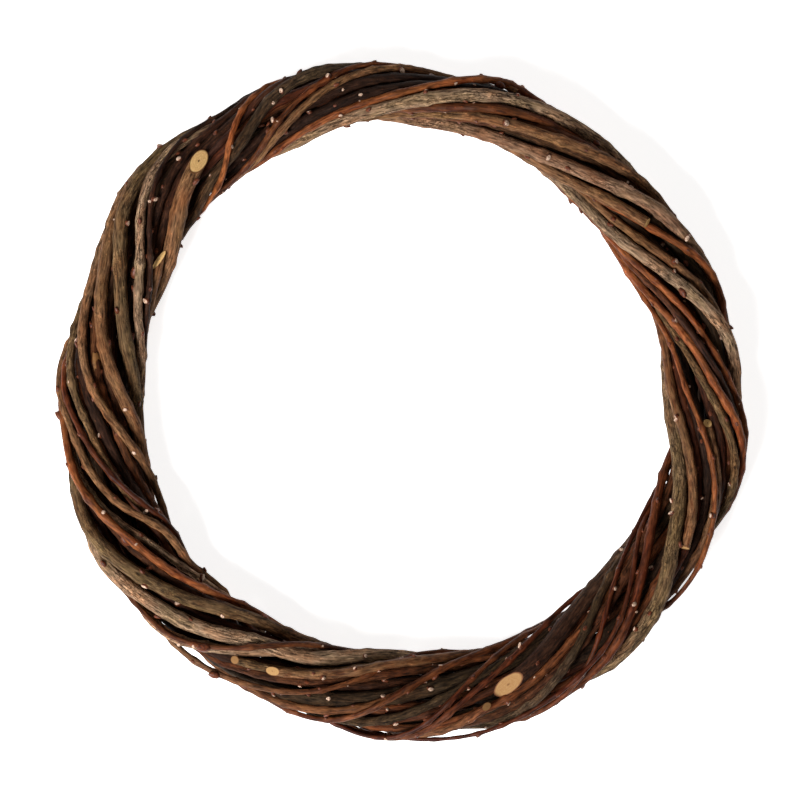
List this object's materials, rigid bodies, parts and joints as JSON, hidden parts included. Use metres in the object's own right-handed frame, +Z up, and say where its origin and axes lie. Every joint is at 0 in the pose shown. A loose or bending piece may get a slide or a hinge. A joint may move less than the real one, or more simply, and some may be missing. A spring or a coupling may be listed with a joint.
{
  "type": "wicker wreath",
  "caption": "Round wreath of willow rods wound round one another like a rope bent into a ring, lying flat, open in the middle.",
  "frame": {"origin": "middle of the wreath's outline, on the surface it lies on", "axes": "+Z straight up through the ring from the surface to its face; +Y towards the top of the ring as the picture shows it; +X to its right"},
  "size_m": [0.349, 0.3418, 0.0391],
  "materials": {
    "grey_bark": "rough fissured grey-brown bark",
    "brown_bark": "dull brown bark",
    "orange_bark": "smooth satin orange-brown bark"
  },
  "bodies": {
    "root": {"rod_01": "grey_bark", "rod_02": "brown_bark", "rod_03": "grey_bark", "rod_04": "brown_bark", "rod_05": "grey_bark", "rod_06": "brown_bark", "rod_07": "brown_bark", "rod_08": "orange_bark", "rod_09": "grey_bark", "rod_10": "orange_bark", "rod_11": "grey_bark", "rod_12": "orange_bark", "rod_13": "orange_bark", "rod_14": "grey_bark", "rod_15": "orange_bark", "rod_16": "orange_bark", "rod_17": "orange_bark", "rod_18": "brown_bark", "rod_19": "grey_bark", "rod_20": "brown_bark", "rod_21": "grey_bark", "rod_22": "brown_bark", "rod_23": "brown_bark", "rod_24": "grey_bark", "rod_25": "brown_bark", "rod_26": "grey_bark", "rod_27": "brown_bark", "rod_28": "brown_bark", "rod_29": "orange_bark", "rod_30": "grey_bark"}
  },
  "joints": []
}
